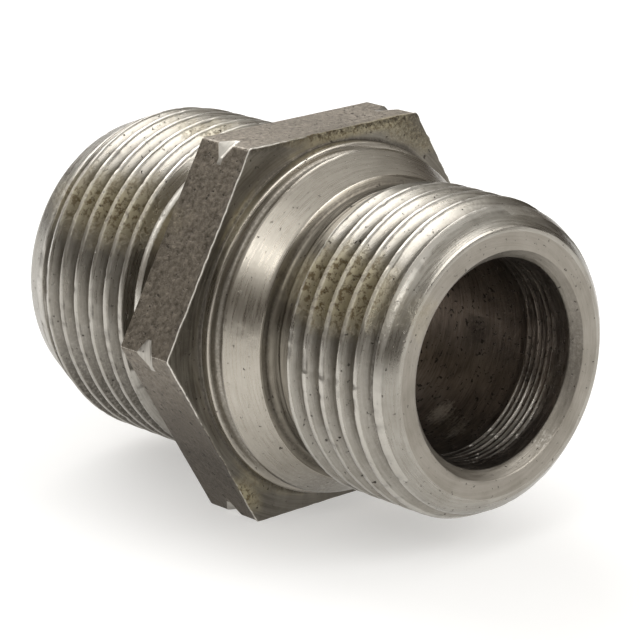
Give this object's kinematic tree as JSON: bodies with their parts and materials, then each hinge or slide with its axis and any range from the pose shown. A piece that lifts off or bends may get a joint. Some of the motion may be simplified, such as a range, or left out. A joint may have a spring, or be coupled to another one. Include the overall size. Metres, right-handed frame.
{
  "type": "hex nipple",
  "caption": "Turned steel hex nipple with unequal parallel male threads, a thin spanner hexagon, a conical shoulder and a plain through bore, for joining threaded pipe fittings.",
  "frame": {"origin": "on the bore axis, halfway between the two end faces", "axes": "+X along the bore axis, out of the smaller threaded end; +Z out of one spanner flat; +Y towards a corner of the hexagon"},
  "size_m": [0.0344, 0.0278, 0.024],
  "materials": {
    "steel": "turned, lightly stained"
  },
  "bodies": {
    "root": {"nipple_body": "steel"}
  },
  "joints": []
}
